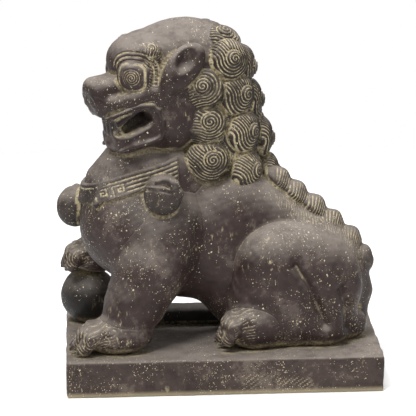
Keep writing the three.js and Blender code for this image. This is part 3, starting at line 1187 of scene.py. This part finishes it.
# %% The finishes
LIME = (0.42, 0.355, 0.225, 1)
SPECK = (0.60, 0.53, 0.36, 1)
DUST_AND_SHEEN = (0.190, 0.163, 0.142, 1)
Finish = namedtuple("Finish", "dark mid pale lime dust speck")
FINISHES = {
    "plinth_stone": Finish(
        (0.020, 0.012, 0.010), (0.046, 0.031, 0.026), (0.120, 0.095, 0.075), 0.90, 0.95, 0.42
    ),
    "body_stone": Finish(
        (0.016, 0.009, 0.008), (0.033, 0.020, 0.0175), (0.095, 0.073, 0.062), 0.95, 0.95, 0.46
    ),
    "head_stone": Finish(
        (0.015, 0.009, 0.008), (0.030, 0.0185, 0.0165), (0.095, 0.073, 0.062), 1.05, 0.92, 0.44
    ),
    "mane_stone": Finish(
        (0.011, 0.0075, 0.006), (0.024, 0.017, 0.014), (0.085, 0.070, 0.055), 1.60, 0.45, 0.20
    ),
    "crest_stone": Finish(
        (0.017, 0.012, 0.010), (0.038, 0.028, 0.023), (0.110, 0.088, 0.070), 1.45, 0.80, 0.20
    ),
    "collar_stone": Finish(
        (0.014, 0.009, 0.008), (0.034, 0.025, 0.021), (0.110, 0.088, 0.070), 1.30, 0.90, 0.34
    ),
    "ball_stone": Finish(
        (0.007, 0.006, 0.005), (0.014, 0.011, 0.009), (0.045, 0.038, 0.033), 0.70, 0.60, 0.14
    ),
}


def cast_stone(slot):
    dark, mid, pale, lime, dust_and_sheen_amount, speck = FINISHES[slot]
    material = bpy.data.materials.new(slot)
    material.use_nodes = True
    tree = material.node_tree
    shader = tree.nodes["Principled BSDF"]

    def use(group, **values):
        node = tree.nodes.new("ShaderNodeGroup")
        node.node_tree = GROUPS[group]
        for label, value in values.items():
            put(tree, node.inputs[label], value)
        return node.outputs

    def painted(name):
        node = tree.nodes.new("ShaderNodeAttribute")
        node.attribute_name = name
        return node.outputs["Fac"]

    tones = {"Dark": (*dark, 1), "Mid": (*mid, 1), "Pale": (*pale, 1)}
    stone = use("mottled_stone", **tones, Rubbed=painted("rubbed"))
    dust_and_sheen_mask = use("settled_dust", Amount=dust_and_sheen_amount)["Mask"]
    kept = {"Incised": painted("incised"), "Sheltered": painted("sheltered")}
    limed = use("pocket_lime", **kept, Amount=lime)["Mask"]
    big = use("lime_specks", Amount=speck * 0.3, Scale=400.0)["Mask"]
    small = use("lime_specks", Amount=speck * 0.95, Scale=760.0)["Mask"]
    specks = maths(tree, "MAXIMUM", big, small)
    smears = use("lime_smears", Amount=speck * 1.6)["Mask"]
    height_above = tree.nodes.new("ShaderNodeSeparateXYZ")
    tree.links.new(tree.nodes.new("ShaderNodeTexCoord").outputs["Object"], height_above.inputs[0])
    foot = ramp(tree, height_above.outputs["Z"], 0.007, 0.0005, 0, 0.7)  # lime wicked up from below
    limed = maths(tree, "MAXIMUM", limed, maths(tree, "MAXIMUM", smears, foot), clamp=True)
    # Painted shade: sheltered corners and creases are darkened halfway towards the dark tone.
    shade = ramp(tree, painted("sheltered"), 0.3, 0.75)
    # Dust and a painted sheen: upward faces are lightened towards a pale grey.
    colour = blend(tree, dust_and_sheen_mask, stone["Color"], DUST_AND_SHEEN)
    colour = blend(tree, times(tree, shade, 0.5), colour, (*dark, 1))
    colour = blend(tree, limed, colour, LIME)
    colour = blend(tree, times(tree, specks, 0.85), colour, SPECK)
    tree.links.new(colour, shader.inputs["Base Color"])
    powdery = maths(tree, "MAXIMUM", dust_and_sheen_mask, maths(tree, "MAXIMUM", limed, specks))
    chalky = times(tree, powdery, 0.3)
    rough = maths(tree, "ADD", stone["Roughness"], chalky, clamp=True)
    tree.links.new(rough, shader.inputs["Roughness"])
    shader.inputs["Specular IOR Level"].default_value = 0.24
    bump = tree.nodes.new("ShaderNodeBump")
    bump.inputs["Strength"].default_value, bump.inputs["Distance"].default_value = 0.55, 0.0006
    height = maths(tree, "ADD", stone["Height"], times(tree, specks, 0.35))
    tree.links.new(height, bump.inputs["Height"])
    tree.links.new(bump.outputs["Normal"], shader.inputs["Normal"])
    return material


MATERIALS = {slot: cast_stone(slot) for slot in FINISHES}

# %% [markdown]
# ## Casting the pieces
#
# Now every piece is carved, pushed out or in by its relief, and given its three painted masks.

# %% Build every piece
figure = bpy.data.collections.new("figure")
bpy.context.scene.collection.children.link(figure)
SLOTS = {s["node"]: s["material_slot"] for s in frame["record"]["subparts"]}


def mesh_from(name, points, quads):
    mesh = bpy.data.meshes.new(name)
    mesh.vertices.add(len(points))
    mesh.vertices.foreach_set("co", (points * MM).astype(np.float32).ravel())
    mesh.loops.add(quads.size)
    mesh.loops.foreach_set("vertex_index", quads.astype(np.int32).ravel())
    mesh.polygons.add(len(quads))
    mesh.polygons.foreach_set("loop_start", np.arange(0, quads.size, 4, dtype=np.int32))
    mesh.update(calc_edges=True)
    mesh.polygons.foreach_set("use_smooth", np.ones(len(quads), bool))
    return mesh


def cast(name, form, family):
    members = near(family, form.low, form.high)
    points, quads = carve(
        lambda p: piece_distance(name, members, p), form.low - 2, form.high + 2, grain_of(name)
    )
    points = points.astype(np.float32)
    mesh = mesh_from(f"cast_{name}", points, quads)
    normal = np.empty(len(points) * 3, np.float32)
    mesh.vertex_normals.foreach_get("vector", normal)
    normal = normal.reshape(-1, 3)
    height, cut = relief(name, points)
    sheltered, rubbed = shelter_and_wear(form, points, normal)
    # Painted shade: the right forepaw is darkened through the wear mask.
    if name == "right_forepaw":
        rubbed = rubbed + np.float32(0.5)  # painted shade: this far-side paw is darkened as if it lay in shadow
    raised = (points + normal * height[:, None]) * MM
    mesh.vertices.foreach_set("co", raised.ravel())
    for label, mask in (("incised", cut), ("sheltered", sheltered), ("rubbed", rubbed)):
        mesh.attributes.new(label, "FLOAT", "POINT").data.foreach_set("value", mask)
    mesh.update()
    mesh.materials.append(MATERIALS[SLOTS[name]])
    piece = bpy.data.objects.new(f"cast_{name}", mesh)
    figure.objects.link(piece)
    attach(piece, "root")
    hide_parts(name)
    return len(quads)


counts = {}
for family in FAMILIES:
    for name, form, _ in family:
        counts[name] = cast(name, form, family)
print("quads:", sum(counts.values()), "largest:", sorted(counts.items(), key=lambda c: -c[1])[:6])
